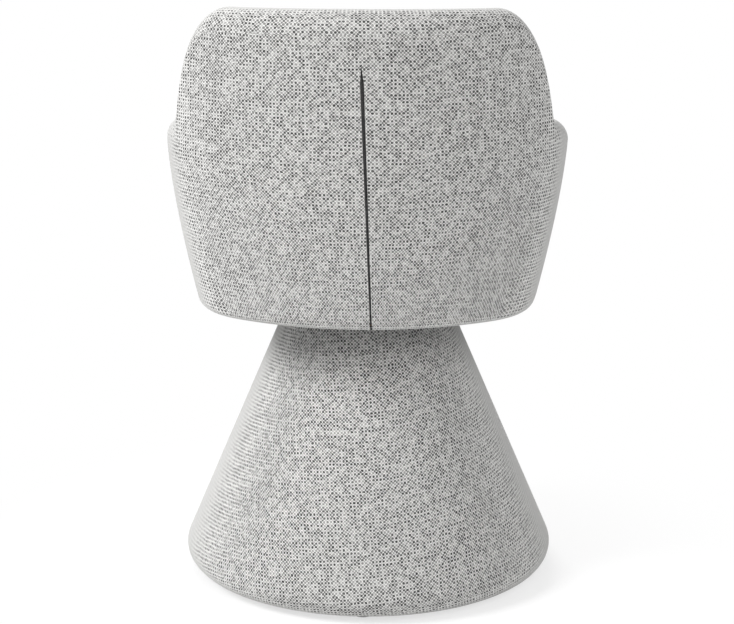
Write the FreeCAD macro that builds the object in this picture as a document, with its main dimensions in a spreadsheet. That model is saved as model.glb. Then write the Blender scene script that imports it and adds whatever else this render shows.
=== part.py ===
import FreeCAD, Part
import math
import os
import Sketcher

# Swivel tub chair: upholstered shell on an upholstered conical pedestal.
# Lengths in millimetres. The chair stands on z = 0, the swivel axis is the z axis,
# the sitter faces -y and the back is on the +y side.

V = FreeCAD.Vector
UP = V(0, 0, 1)
doc = FreeCAD.newDocument("SwivelChair")
sheet = doc.addObject("Spreadsheet::Sheet", "Sizes")

# Sizes that drive the chair
SIZES = (
    # Shell outline
    ("shell_bottom", 400, "lower edge of the shell above the floor"),
    ("back_top", 820, "top of the back"),
    ("arm_root_level", 660, "arm top where it leaves the back"),
    ("arm_front_level", 612, "arm top before it drops"),
    ("front_rail_level", 474, "top of the roll in front of the cushion"),
    ("back_foot_at", 150, "where the back rises from the arm, behind the axis"),
    ("back_head_at", 235, "where the back is at its full height"),
    ("arm_front_at", 118, "where the arm starts to drop, in front of the axis"),
    ("arm_foot_at", 240, "where the arm has dropped to the front roll"),
    ("wide_level", 620, "height at which the shell is widest"),
    ("half_width_low", 232, "half width at the lower edge"),
    ("half_width_high", 271, "half width across the arms"),
    ("rear_low", 222, "rear of the shell at its lower edge"),
    ("rear_high", 290, "rear of the shell at the top of the back"),
    ("front_low", 278, "front of the shell at its lower edge"),
    ("front_high", 300, "front of the shell at arm height"),
    ("back_curve", 330, "plan radius of the back"),
    ("rear_corner", 105, "plan radius from back to side"),
    ("side_curve", 800, "plan radius of the sides"),
    ("front_corner", 110, "plan radius from side to front"),
    ("front_curve", 620, "plan radius of the front"),
    ("side_shift", 20, "centre of the side curve in front of the axis"),
    ("foot_round", 9, "rounding of the lower edge"),
    # Shell layers
    ("wall_thickness", 57, "whole upholstered wall"),
    ("cover_thickness", 1.7, "tweed fabric"),
    ("layer_gap", 0.3, "room between soft layers"),
    ("padding_thickness", 6, "wadding outside the moulded shell"),
    ("core_thickness", 9, "moulded plywood shell"),
    ("frame_fit", 0.8, "seat frame to the moulded shell"),
    ("edge_room", 2, "edge of the moulded shell below the foam over it"),
    ("seam_share", 0.86, "seam of the inside cover, share of the way up to the roll"),
    # Seat
    ("mount_board_thickness", 18, "board over the swivel"),
    ("mount_board_width", 190, "board over the swivel, front to back"),
    ("mount_board_hole", 17, "radius of the hole for the king pin nut"),
    ("seat_ring_thickness", 18, "plywood ring"),
    ("seat_ring_width", 72, "plywood ring, edge to opening"),
    ("webbing_width", 50, "elastic webbing"),
    ("webbing_thickness", 1.2, "elastic webbing"),
    ("webbing_pitch", 92, "webbing spacing"),
    ("webbing_reach", 28, "webbing lying on the ring"),
    ("webbing_wave", 0.8, "rise and fall of the woven webbing"),
    ("cushion_top", 494, "crown of the seat cushion"),
    ("cushion_crown", 16, "rise of the crown over the cushion edge"),
    ("cushion_clearance", 3, "cushion to the inside cover"),
    # Zip closing the rear of the cover
    ("zip_drop", 78, "upper end of the slit below the top of the back"),
    ("zip_lean", 1.65, "lean of the slit in degrees"),
    ("zip_foot_shift", 11, "foot of the slit off the centre line"),
    ("slit_half_width", 2.3, "half the slit where it gapes most"),
    ("tape_width", 26, "zip tape"),
    ("tape_thickness", 0.7, "zip tape"),
    ("tape_depth", 4.8, "outer face of the tape below the outer face of the cover"),
    ("zip_channel", 30, "room left in the wadding for the zip"),
    ("coil_half_width", 1.8, "closed coil"),
    ("coil_thickness", 1.4, "closed coil"),
    ("slider_half_width", 2.9, "zip slider"),
    ("slider_length", 9, "zip slider"),
    ("slider_plate", 0.8, "outer plate of the slider"),
    ("slider_gap", 0.1, "slider to coil"),
    ("slider_park", 5, "slider above the foot of the zip"),
    # Pedestal
    ("facet_count", 36, "flats of the kerf-bent board and of the foam on it"),
    ("base_radius", 257, "widest radius of the pedestal"),
    ("base_edge", 24, "rounding at the foot of the pedestal"),
    ("base_head_radius", 107, "radius of the pedestal at its upper board"),
    ("base_foam_thickness", 10, "foam on the pedestal"),
    ("cone_wall_thickness", 4, "bent board of the pedestal"),
    ("bottom_board_thickness", 18, "bottom board"),
    ("bottom_board_chamfer", 14, "bevel under the bottom board"),
    ("top_board_thickness", 18, "top board"),
    ("swivel_seat_level", 388, "upper face of the top board"),
    ("top_board_hole", 15, "radius of the hole for the foot of the king pin"),
    ("rib_thickness", 15, "cross-halved ribs"),
    ("ballast_half", 150, "half the side of the steel ballast plate"),
    ("ballast_thickness", 8, "steel ballast plate"),
    ("lip_inner", 184, "inner edge of the cover turned under the pedestal"),
    ("top_lip_inner", 92, "inner edge of the cover turned over the pedestal"),
    ("dust_cover_thickness", 1, "dust covers"),
    ("base_dust_cover_radius", 230, "pedestal dust cover"),
    ("seat_dust_cover_hole", 104, "radius of the hole in the seat dust cover"),
    ("glide_height", 6, "glides"),
    ("glide_radius", 15, "glides"),
    ("glide_circle", 208, "glides off the axis"),
    ("glide_count", 5, "glides"),
    # Swivel
    ("plate_half", 66, "half the side of a swivel plate"),
    ("plate_corner", 14, "cut corner of a swivel plate"),
    ("plate_thickness", 2.5, "swivel plates"),
    ("plate_gap", 9, "between the swivel plates"),
    ("plate_hole_offset", 50, "plate holes off both centre lines"),
    ("pin_radius", 6, "king pin"),
    ("pin_head_radius", 12, "head of the king pin"),
    ("pin_head_height", 5, "head of the king pin"),
    ("bush_radius", 9, "nylon bush"),
    ("bush_rise", 1.6, "nylon bush above the upper plate"),
    ("running_clearance", 0.06, "between turning pieces"),
    ("pin_nut_width", 19, "across the flats of the king pin nut"),
    ("pin_nut_height", 9, "king pin nut"),
    ("slide_ring_inner", 28, "acetal ring between the plates"),
    ("slide_ring_outer", 42, "acetal ring between the plates"),
    # Fasteners
    ("fit", 0.05, "fixed pieces pushed together"),
    ("bolt_radius", 3, "plate bolts"),
    ("bolt_head_width", 10, "across the flats of the plate bolts"),
    ("bolt_head_height", 3.8, "plate bolts"),
    ("bolt_length", 30, "lower plate bolts"),
)
for row, (name, value, note) in enumerate(SIZES, start=1):
    sheet.set("A%d" % row, name)
    sheet.set("B%d" % row, str(value))
    sheet.set("C%d" % row, note)
    sheet.setAlias("B%d" % row, name)
doc.recompute()


class Size:
    """A length: its value now and the expression that ties it to the sheet."""

    def __init__(self, value, text):
        self.value = float(value)
        self.text = text

    def __add__(self, other):
        other = as_size(other)
        return Size(self.value + other.value, "(%s + %s)" % (self.text, other.text))

    def __sub__(self, other):
        other = as_size(other)
        return Size(self.value - other.value, "(%s - %s)" % (self.text, other.text))

    def __mul__(self, other):
        other = as_size(other)
        return Size(self.value * other.value, "(%s * %s)" % (self.text, other.text))

    def __truediv__(self, other):
        other = as_size(other)
        return Size(self.value / other.value, "(%s / %s)" % (self.text, other.text))

    def __neg__(self):
        return Size(-self.value, "(0 - %s)" % self.text)


def as_size(x):
    return x if isinstance(x, Size) else Size(x, repr(x))


def n(name):
    return Size(getattr(sheet, name), "Sizes.%s" % name)


def cosd(x):
    return Size(math.cos(math.radians(x.value)), "cos(%s)" % x.text)


def sind(x):
    return Size(math.sin(math.radians(x.value)), "sin(%s)" % x.text)


def tand(x):
    return Size(math.tan(math.radians(x.value)), "tan(%s)" % x.text)


def root(x):
    return Size(math.sqrt(x.value), "sqrt(%s)" % x.text)


ZERO = as_size(0)
nodes = []


def new_body(label, turn=0):
    body = doc.addObject("PartDesign::Body", label)
    body.Label = label
    if turn:
        body.Placement = FreeCAD.Placement(V(0, 0, 0), FreeCAD.Rotation(UP, turn))
    nodes.append(body)
    return body


def solid_piece(label, shape):
    piece = doc.addObject("Part::Feature", label)
    piece.Label = label
    piece.Shape = shape
    piece.Placement = FreeCAD.Placement()
    nodes.append(piece)
    return piece


def new_sketch(body, name, role, height=None):
    sketch = body.newObject("Sketcher::SketchObject", name)
    plane = [f for f in body.Origin.OriginFeatures if f.Role == role][0]
    sketch.AttachmentSupport = [(plane, "")]
    sketch.MapMode = "FlatFace"
    if height is not None:
        sketch.AttachmentOffset = FreeCAD.Placement(V(0, 0, height.value), FreeCAD.Rotation())
        sketch.setExpression(".AttachmentOffset.Base.z", height.text)
    return sketch


def tie(sketch, kind, *where, size):
    if kind in ("DistanceX", "DistanceY") and abs(size.value) < 1e-9 and size.text == "0":
        axis = -2 if kind == "DistanceX" else -1
        sketch.addConstraint(Sketcher.Constraint("PointOnObject", where[2], where[3], axis))
        return
    index = sketch.addConstraint(Sketcher.Constraint(kind, *where, size.value))
    sketch.setExpression("Constraints[%d]" % index, size.text)


def loop(sketch, points):
    """Closed outline of straight edges through the points."""
    points = [(as_size(x), as_size(y)) for x, y in points]
    count = len(points)
    first = sketch.GeometryCount
    for k in range(count):
        here, onward = points[k], points[(k + 1) % count]
        start = V(here[0].value, here[1].value, 0)
        stop = V(onward[0].value, onward[1].value, 0)
        sketch.addGeometry(Part.LineSegment(start, stop), False)
    for k in range(count):
        onward = first + (k + 1) % count
        sketch.addConstraint(Sketcher.Constraint("Coincident", first + k, 2, onward, 1))
        tie(sketch, "DistanceX", -1, 1, first + k, 1, size=points[k][0])
        tie(sketch, "DistanceY", -1, 1, first + k, 1, size=points[k][1])


def ring_hole(sketch, x, y, radius):
    x, y, radius = as_size(x), as_size(y), as_size(radius)
    index = sketch.addGeometry(Part.Circle(V(x.value, y.value, 0), UP, radius.value), False)
    tie(sketch, "Radius", index, size=radius)
    tie(sketch, "DistanceX", -1, 1, index, 3, size=x)
    tie(sketch, "DistanceY", -1, 1, index, 3, size=y)


def turned(body, name, points, centre=None, cut=False, count=None):
    """Revolved piece or revolved cut about the z axis or a line parallel to it."""
    sketch = new_sketch(body, name + "Profile", "XZ_Plane")
    if centre is not None:
        line = Part.LineSegment(V(centre.value, 0, 0), V(centre.value, 10, 0))
        index = sketch.addGeometry(line, True)
        sketch.addConstraint(Sketcher.Constraint("Vertical", index))
        tie(sketch, "DistanceX", -1, 1, index, 1, size=centre)
        sketch.addConstraint(Sketcher.Constraint("PointOnObject", index, 1, -1))
        tie(sketch, "DistanceY", index, 1, index, 2, size=n("glide_radius"))
        points = [(centre + p[0],) + tuple(p[1:]) for p in points]
    loop(sketch, points)
    kind = "PartDesign::Groove" if cut else "PartDesign::Revolution"
    feature = body.newObject(kind, name)
    feature.Profile = sketch
    feature.ReferenceAxis = (sketch, ["V_Axis" if centre is None else "Axis0"])
    feature.Angle = 360
    sketch.Visibility = False
    if count is not None:
        repeat(body, feature, sketch, "V_Axis", count)
    return feature


def repeat(body, feature, sketch, axis, count):
    pattern = body.newObject("PartDesign::PolarPattern", feature.Name + "Ring")
    pattern.Originals = [feature]
    pattern.Axis = (sketch, [axis])
    pattern.Angle = 360
    count = as_size(count)
    pattern.Occurrences = int(count.value)
    if count.text.startswith("Sizes"):
        pattern.setExpression("Occurrences", count.text)
    body.Tip = pattern
    return pattern


def slab(body, name, height, thickness, loops=(), holes=(), role="XY_Plane", middle=False):
    """Flat board or plate: outlines and round holes, thickened upward."""
    sketch = new_sketch(body, name + "Outline", role, None if middle else height)
    for points in loops:
        loop(sketch, points)
    for x, y, radius in holes:
        ring_hole(sketch, x, y, radius)
    pad = body.newObject("PartDesign::Pad", name)
    pad.Profile = sketch
    pad.Length = thickness.value
    pad.setExpression("Length", thickness.text)
    if middle:
        pad.Midplane = True
    sketch.Visibility = False
    return pad


cover = n("cover_thickness")
gap = n("layer_gap")
fit = n("fit")

# Heights in the pedestal
dust_low = n("glide_height")
cover_low = dust_low + n("dust_cover_thickness") + gap
board_low = cover_low + cover + gap
board_high = board_low + n("bottom_board_thickness")
seat_level = n("swivel_seat_level")
top_low = seat_level - n("top_board_thickness")
edge_radius = n("base_radius") - n("base_edge")
edge_level = cover_low + n("base_edge")


def side_lean():
    """Lean in degrees of the line from the head circle that touches the foot's roll."""
    run = edge_radius - n("base_head_radius")
    height = seat_level - edge_level
    reach = root(run * run + height * height)
    value = math.degrees(math.atan2(run.value, height.value))
    value += math.degrees(math.asin(n("base_edge").value / reach.value))
    roll = n("base_edge") / reach
    return Size(value, "(atan(%s) + asin(%s))" % ((run / height).text, roll.text))


lean = side_lean()


def cone(depth, level):
    """Radius of the pedestal side at a level, a depth below the outer face."""
    slant = (n("base_edge") - depth) / cosd(lean)
    return edge_radius + slant - (level - edge_level) * tand(lean)


foam_depth = cover + gap
wall_depth = foam_depth + n("base_foam_thickness") + gap
wall_inner = wall_depth + n("cone_wall_thickness")
board_radius = cone(wall_depth, board_high)


facet_angle = Size(180, "180") / n("facet_count")
facet_share = cosd(facet_angle)


def on_edge(depth):
    reach = n("base_edge") - depth
    return (edge_radius + reach * cosd(lean), edge_level + reach * sind(lean))


# Nylon glides pinned under the foot
body = new_body("glides", 90)
glide_high = n("glide_height")
turned(
    body,
    "Glide",
    [
        (ZERO, ZERO),
        (n("glide_radius"), ZERO),
        (n("glide_radius"), glide_high),
        (ZERO, glide_high),
    ],
    centre=n("glide_circle"),
    count=n("glide_count"),
)

# Steel ballast plate on the bottom board
ballast_high = board_high + n("ballast_thickness")
side = n("ballast_half")
corners = [(-side, -side), (side, -side), (side, side), (-side, side)]
slab(new_body("ballast_plate"), "Plate", board_high, n("ballast_thickness"), loops=[corners])

# Cross-halved ribs between the two boards
rib_foot = cone(wall_inner, board_high) * facet_share - 0.8
rib_top = cone(wall_inner, top_low) * facet_share - 0.8
step_radius = n("ballast_half") + 1
step_high = ballast_high + gap
half_level = (top_low + step_high) / 2
slot = n("rib_thickness") / 2 + fit


def rib(label, turn, upper_slot):
    outline = [(-rib_foot, board_high), (-step_radius, board_high), (-step_radius, step_high)]
    if not upper_slot:
        outline += [
            (-slot, step_high),
            (-slot, half_level),
            (slot, half_level),
            (slot, step_high),
        ]
    outline += [
        (step_radius, step_high),
        (step_radius, board_high),
        (rib_foot, board_high),
        (rib_top, top_low),
    ]
    if upper_slot:
        outline += [
            (slot, top_low),
            (slot, half_level),
            (-slot, half_level),
            (-slot, top_low),
        ]
    outline += [(-rib_top, top_low)]
    board = new_body(label, turn)
    slab(board, "Board", None, n("rib_thickness"), [outline], role="XZ_Plane", middle=True)


rib("rib_long", 0, True)
rib("rib_cross", 90, False)
offset = n("plate_hole_offset")
bolt = n("bolt_radius")


def at_corners(radius):
    return [
        (offset, offset, radius),
        (-offset, offset, radius),
        (-offset, -offset, radius),
        (offset, -offset, radius),
    ]


# Pressed plates of the swivel
lower_high = seat_level + n("plate_thickness")
upper_low = lower_high + n("plate_gap")
upper_high = upper_low + n("plate_thickness")
half = n("plate_half")
corner = n("plate_corner")
inner = half - corner
pin = n("pin_radius")
SQUARE = [
    (-inner, -half),
    (inner, -half),
    (half, -inner),
    (half, inner),
    (inner, half),
    (-inner, half),
    (-half, inner),
    (-half, -inner),
]


def swivel_plate(label, low, centre_radius):
    holes = at_corners(bolt + 0.3) + [(ZERO, ZERO, centre_radius)]
    slab(new_body(label), "Plate", low, n("plate_thickness"), loops=[SQUARE], holes=holes)


swivel_plate("lower_swivel_plate", seat_level, pin + fit)
swivel_plate("upper_swivel_plate", upper_low, n("bush_radius") + fit)

# Acetal ring that the upper plate slides on
body = new_body("slide_ring")
slab(
    body,
    "Ring",
    lower_high,
    n("plate_gap") - n("running_clearance"),
    holes=[(ZERO, ZERO, n("slide_ring_outer")), (ZERO, ZERO, n("slide_ring_inner"))],
)

# King pin with its nut
bush_high = upper_high + n("bush_rise")
pin_nut_low = bush_high + n("running_clearance")
nut_high = pin_nut_low + n("pin_nut_height")
body = new_body("king_pin")
turned(
    body,
    "Pin",
    [
        (ZERO, seat_level - n("pin_head_height")),
        (n("pin_head_radius"), seat_level - n("pin_head_height")),
        (n("pin_head_radius"), seat_level),
        (pin, seat_level),
        (pin, nut_high + 1),
        (ZERO, nut_high + 1),
    ],
)
def hexagon(width, x=ZERO, y=ZERO):
    side = width / root(Size(3, "3"))
    flat = width / 2
    corners = [
        (side, ZERO),
        (side / 2, flat),
        (-(side / 2), flat),
        (-side, ZERO),
        (-(side / 2), -flat),
        (side / 2, -flat),
    ]
    if x is ZERO:
        return corners
    return [(x + a, y + b) for a, b in corners]


body = new_body("pin_nut")
slab(
    body,
    "Nut",
    pin_nut_low,
    n("pin_nut_height"),
    loops=[hexagon(n("pin_nut_width"))],
    holes=[(ZERO, ZERO, pin + fit)],
)

# Nylon bush in the upper plate
bush_bore = pin + n("running_clearance")
slab(
    new_body("pin_bush"),
    "Bush",
    upper_low,
    n("plate_thickness") + n("bush_rise"),
    holes=[(ZERO, ZERO, n("bush_radius")), (ZERO, ZERO, bush_bore)],
)


def bolts(label, head_low, shank_low, shank_high):
    """Four hexagon bolts, head above the level given."""
    body = new_body(label)
    heads = [hexagon(n("bolt_head_width"), x, y) for x, y, radius in at_corners(bolt)]
    slab(body, "Heads", head_low, n("bolt_head_height"), loops=heads)
    slab(body, "Shanks", shank_low, shank_high - shank_low, holes=at_corners(bolt))


bolts("lower_plate_bolts", lower_high, lower_high - n("bolt_length") + 8, lower_high)
mount_low = upper_high
mount_high = mount_low + n("mount_board_thickness")
bolts("upper_plate_bolts", mount_high, upper_low, mount_high)
doc.recompute()


def val(name):
    return float(getattr(sheet, name))


COVER = val("cover_thickness")
GAP = val("layer_gap")

# Pedestal pieces with flat sides: kerf-bent board, foam glued to it and the boards inside
FACETS = int(val("facet_count"))


def polygon(points):
    return Part.makePolygon(points + [points[0]])


def onward(a, b):
    """True if the edge from a to b climbs, or runs inward where it is near level."""
    if abs(b.z - a.z) > 0.3 * (b - a).Length:
        return b.z > a.z
    return math.hypot(b.x, b.y) < math.hypot(a.x, a.y)


def flats_between(one, two):
    """Flat faces between two closed rings of points, bent ones in two halves. The fold
    rises, or runs inward, from the first ring to the second, so that neighbours match."""
    faces = []
    for k in range(len(one)):
        a, b = one[k], one[(k + 1) % len(one)]
        d, c = two[k], two[(k + 1) % len(one)]
        normal = (b - a).cross(d - a)
        if normal.Length > 1e-9 and abs((c - a).dot(normal.normalize())) < 1e-6:
            faces.append(Part.Face(polygon([a, b, c, d])))
        elif onward(a, b):
            faces.append(Part.Face(polygon([a, b, c])))
            faces.append(Part.Face(polygon([a, c, d])))
        else:
            faces.append(Part.Face(polygon([a, b, d])))
            faces.append(Part.Face(polygon([b, c, d])))
    return faces


def flat_sided(rings, closed=False):
    """Solid whose sides run straight from each ring of points to the next."""
    faces = []
    for k in range(len(rings) - 1):
        faces += flats_between(rings[k], rings[k + 1])
    if closed:
        faces += flats_between(rings[-1], rings[0])
    else:
        faces += [Part.Face(polygon(rings[0])), Part.Face(polygon(rings[-1]))]
    skin = Part.makeShell(faces)
    skin.sewShape()
    solid = Part.Solid(skin.Shells[0])
    if solid.Volume < 0:
        solid.reverse()
    return solid


def flat_ring(radius, level):
    points = []
    for k in range(FACETS):
        angle = 2 * math.pi * (k + 0.5) / FACETS
        points.append(V(radius * math.cos(angle), radius * math.sin(angle), level))
    return points


def faceted(rings):
    """Solid through flat-sided rings given as (radius, level)."""
    return flat_sided([flat_ring(r, z) for r, z in rings])


def side(depth, level):
    return cone(as_size(depth), as_size(level)).value


LEAN = lean.value
EDGE = val("base_edge")
EDGE_AT = edge_radius.value
EDGE_LEVEL = edge_level.value
BOARD_LOW = board_low.value
BOARD_HIGH = board_high.value
SEAT_LEVEL = seat_level.value
TOP_LOW = top_low.value
BOARD = board_radius.value
BEVEL = val("bottom_board_chamfer")
WALL_OUT = wall_depth.value
WALL_IN = wall_inner.value


def foot_curve(depth, angles):
    """Points round the foot of the pedestal, angles from the horizontal in degrees."""
    points = []
    for angle in angles:
        t = math.radians(angle)
        reach = EDGE - depth
        points.append((EDGE_AT + reach * math.cos(t), EDGE_LEVEL + reach * math.sin(t)))
    return points


bottom_board = faceted([(BOARD - BEVEL, BOARD_LOW), (BOARD, BOARD_LOW + BEVEL), (BOARD, BOARD_HIGH)])
solid_piece("bottom_board", bottom_board)



def drill(board, radius, x, y, low, high):
    """Board with an upright round hole from one level to another."""
    through = high - low
    return board.cut(Part.makeCylinder(radius, 3 * through, V(x, y, low - through)))


def drill_for_bolts(board, low, high):
    for sx in (-1, 1):
        for sy in (-1, 1):
            x, y = sx * val("plate_hole_offset"), sy * val("plate_hole_offset")
            board = drill(board, val("bolt_radius") + val("fit"), x, y, low, high)
    return board


outside = faceted([(side(WALL_OUT, z), z) for z in (BOARD_HIGH, SEAT_LEVEL)])
inside = faceted([(side(WALL_IN, z), z) for z in (BOARD_HIGH - 0.01, SEAT_LEVEL + 0.01)])
solid_piece("cone_wall", outside.cut(inside))

top_board = faceted([(side(WALL_IN + val("fit"), z), z) for z in (TOP_LOW, SEAT_LEVEL)])
top_board = drill(top_board, val("top_board_hole"), 0, 0, TOP_LOW, SEAT_LEVEL)
solid_piece("top_board", drill_for_bolts(top_board, TOP_LOW, SEAT_LEVEL))

SHOULDER = 5.0
TOP_FACE = SEAT_LEVEL + GAP + COVER
FOAM_OUT = COVER + GAP


def ring_solid(section):
    """Closed ring of flats from the corners of its section, (radius, level)."""
    return flat_sided([flat_ring(r, z) for r, z in section], closed=True)


def shoulder(depth, level):
    """Bevel where the pedestal side meets its top, a depth under the fabric."""
    return [(side(depth, level - SHOULDER), level - SHOULDER), (side(depth, level) - SHOULDER, level)]


foam_section = foot_curve(FOAM_OUT, (-60, -25, LEAN)) + shoulder(FOAM_OUT, SEAT_LEVEL)
foam_section.append((side(WALL_OUT - GAP, SEAT_LEVEL), SEAT_LEVEL))
foam_section.append((BOARD + GAP, BOARD_HIGH))
foam_section.append((BOARD + GAP, BOARD_LOW + BEVEL))
foot_level = foam_section[0][1]
foam_section.append((BOARD + GAP - BEVEL + foot_level - BOARD_LOW, foot_level))
solid_piece("base_foam", ring_solid(foam_section))

# Fabric of the pedestal: turned under the foot, round inside the seam, over the top
cover_section = [(val("lip_inner"), cover_low.value)]
cover_section += foot_curve(0, (-90, -62, -34, -6, LEAN)) + shoulder(0, TOP_FACE)
cover_section += [(val("top_lip_inner"), TOP_FACE), (val("top_lip_inner"), TOP_FACE - COVER)]
cover_section += shoulder(COVER, TOP_FACE - COVER)[::-1] + foot_curve(COVER, (LEAN, -25, -60, -90))
cover_section.append((val("lip_inner"), cover_low.value + COVER))
solid_piece("base_cover", ring_solid(cover_section))

# Dust cover under the pedestal
dust = val("dust_cover_thickness")
under = [(val("base_dust_cover_radius"), dust_low.value + rise) for rise in (0, dust)]
solid_piece("base_dust_cover", faceted(under))

# Shell outline of tangent arcs at a level


def plan(level):
    """Half width, rear and front of the shell outline at a level."""
    share = (level - val("shell_bottom")) / (val("wide_level") - val("shell_bottom"))
    swell = 1 - (1 - min(share, 1)) ** 1.4
    width = val("half_width_low") + (val("half_width_high") - val("half_width_low")) * swell
    rise = (level - val("shell_bottom")) / (val("back_top") - val("shell_bottom"))
    rear = val("rear_low") + (val("rear_high") - val("rear_low")) * rise
    front = val("front_low") + (val("front_high") - val("front_low")) * min(share, 1.2)
    return width, rear, -front


def between(big, big_radius, small, small_radius, rearward):
    """Centre of a circle at given distances from two centres, on the +x side."""
    dx = small[0] - big[0]
    dy = small[1] - big[1]
    span = math.hypot(dx, dy)
    along = (big_radius ** 2 - small_radius ** 2 + span ** 2) / (2 * span)
    off = math.sqrt(max(big_radius ** 2 - along ** 2, 0))
    mx = big[0] + along * dx / span
    my = big[1] + along * dy / span
    one = (mx + off * dy / span, my - off * dx / span)
    two = (mx - off * dy / span, my + off * dx / span)
    return max(one, two, key=lambda p: p[0] + p[1] * rearward)


def heading(start, end):
    return math.atan2(end[1] - start[1], end[0] - start[0])


def half_outline(level):
    """Arcs from the middle of the back to the middle of the front, x above 0."""
    width, rear, front = plan(level)
    back = (0.0, rear - val("back_curve"))
    flank = (width - val("side_curve"), -val("side_shift"))
    fore = (0.0, front + val("front_curve"))
    r_back, r_rear, r_side = val("back_curve"), val("rear_corner"), val("side_curve")
    r_front, r_fore = val("front_corner"), val("front_curve")
    rear_c = between(back, r_back - r_rear, flank, r_side - r_rear, 1)
    front_c = between(fore, r_fore - r_front, flank, r_side - r_front, -1)
    a = heading(back, rear_c)
    b = heading(flank, rear_c)
    c = heading(flank, front_c)
    d = heading(fore, front_c)
    return (
        (back, r_back, math.pi / 2, a),
        (rear_c, r_rear, a, b),
        (flank, r_side, b, c),
        (front_c, r_front, c, d),
        (fore, r_fore, d, -math.pi / 2),
    )


def on_wall(station, level, depth):
    """Point of the wall at a station (arc, share), a level and a depth."""
    arc, share = station
    centre, radius, start, stop = half_outline(level)[arc]
    angle = start + (stop - start) * share
    x = centre[0] + (radius - depth) * math.cos(angle)
    y = centre[1] + (radius - depth) * math.sin(angle)
    if station in (FIRST, LAST):
        x = 0.0
    return V(x, y, level)


ARC_STEPS = (4, 6, 4, 3, 3)
STATIONS = []
for arc, steps in enumerate(ARC_STEPS):
    STATIONS += [(arc, k / steps) for k in range(steps)]
STATIONS.append((len(ARC_STEPS) - 1, 1.0))
FIRST = STATIONS[0]
LAST = STATIONS[-1]


def blend(start, stop, x):
    """Smooth step from 0 at start to 1 at stop."""
    t = min(max((x - start) / (stop - start), 0), 1)
    return t * t * (3 - 2 * t)


def crest_at(y):
    """Height of the shell's top line where its outer face is at y."""
    arm = val("arm_front_level")
    arm += (val("arm_root_level") - arm) * blend(-val("arm_front_at"), val("back_foot_at"), y)
    share = (y - val("back_foot_at")) / (val("back_head_at") - val("back_foot_at"))
    back = (val("back_top") - arm) * math.sin(math.pi / 2 * min(max(share, 0), 1))
    rail = val("front_rail_level")
    return rail + (arm + back - rail) * blend(-val("arm_foot_at"), -val("arm_front_at"), y)


def crest(station):
    level = val("wide_level")
    for _ in range(40):
        level = 0.5 * level + 0.5 * crest_at(on_wall(station, level, 0).y)
    return level


THICK = val("wall_thickness")
MIDDLE = THICK / 2
SHELL_LOW = val("shell_bottom")
MOUNT_LOW = mount_low.value
MOUNT_HIGH = mount_high.value
RING_HIGH = MOUNT_HIGH + val("seat_ring_thickness")
SPRING = {station: crest(station) - MIDDLE for station in STATIONS}
RISES = (0.4, val("seam_share"), 1.0)


def rises(station, low, shares=RISES):
    """Levels up a wall: its foot, the ring's top and shares of the way to the roll."""
    start = RING_HIGH
    levels = [low, start] if low < start else [low]
    return levels + [start + (SPRING[station] - start) * share for share in shares]


def roll_point(station, depth, angle):
    """Point on the rounded top, a depth under the fabric; 180 is outside, 0 inside."""
    t = math.radians(angle)
    reach = MIDDLE - depth
    level = SPRING[station] + reach * math.sin(t)
    return on_wall(station, level, MIDDLE + reach * math.cos(t))


def face_points(station, depth, levels):
    return [on_wall(station, z, depth) for z in levels]


def mirrored(points):
    return [V(-p.x, p.y, p.z) for p in points]


def ring_of(section):
    """Closed wall through straight-sided sections round both sides of the shell."""
    right = [section(station) for station in STATIONS]
    left = [mirrored(points) for points in right[1:-1]]
    return flat_sided(right + left[::-1], closed=True)


CORE_OUT = FOAM_OUT + val("padding_thickness") + GAP
CORE_IN = CORE_OUT + val("core_thickness")
FOAM_IN = THICK - FOAM_OUT
FIT = val("fit")
SHELL_FOOT = SHELL_LOW + FOAM_OUT + GAP
ROUND = val("foot_round")
LIP = CORE_IN - 1
ROLL_ANGLES = (135, 90, 45, 0)


def seam_level(station, drop=0.0):
    return RING_HIGH + (SPRING[station] - RING_HIGH) * val("seam_share") - drop


def foot_point(station, depth, angle):
    """Point on the rounded lower edge, a depth under the fabric; 90 is underneath."""
    t = math.radians(angle)
    reach = ROUND - depth
    level = SHELL_LOW + ROUND - reach * math.sin(t)
    return on_wall(station, level, ROUND - reach * math.cos(t))


def outer_cover_section(station):
    points = [foot_point(station, 0, angle) for angle in (90, 45)]
    points += face_points(station, 0, rises(station, SHELL_LOW + ROUND))
    points += [roll_point(station, 0, angle) for angle in ROLL_ANGLES]
    seam = seam_level(station)
    points += [on_wall(station, seam, THICK), on_wall(station, seam, THICK - COVER)]
    points += [roll_point(station, COVER, angle) for angle in ROLL_ANGLES[::-1]]
    points += face_points(station, COVER, rises(station, SHELL_LOW + ROUND))[::-1]
    points += [foot_point(station, COVER, angle) for angle in (45, 90)]
    return points + [
        on_wall(station, SHELL_LOW + COVER, LIP),
        on_wall(station, SHELL_LOW, LIP),
    ]


def inner_cover_section(station):
    levels = [RING_HIGH + GAP] + rises(station, RING_HIGH, RISES[:1])[1:]
    levels.append(seam_level(station, GAP))
    near = face_points(station, THICK, levels)
    far = face_points(station, THICK - COVER, levels)
    return near + far[::-1]


def shell_foam_section(station):
    levels = rises(station, RING_HIGH)
    top = SPRING[station] + GAP
    points = [on_wall(station, top, FOAM_OUT)]
    points += [roll_point(station, FOAM_OUT, angle) for angle in ROLL_ANGLES[:-1]]
    points += face_points(station, FOAM_IN, levels)[::-1]
    return points + face_points(station, CORE_IN + 2.5 * GAP, levels[:-1] + [top])


def upright_section(outer, inner, foot):
    def section(station):
        levels = rises(station, foot)
        levels[-1] = max(levels[-1] - val("edge_room"), (levels[-2] + levels[-1]) / 2)
        near = face_points(station, outer, levels)
        far = face_points(station, inner, levels)
        return near + far[::-1]

    return section


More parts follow.
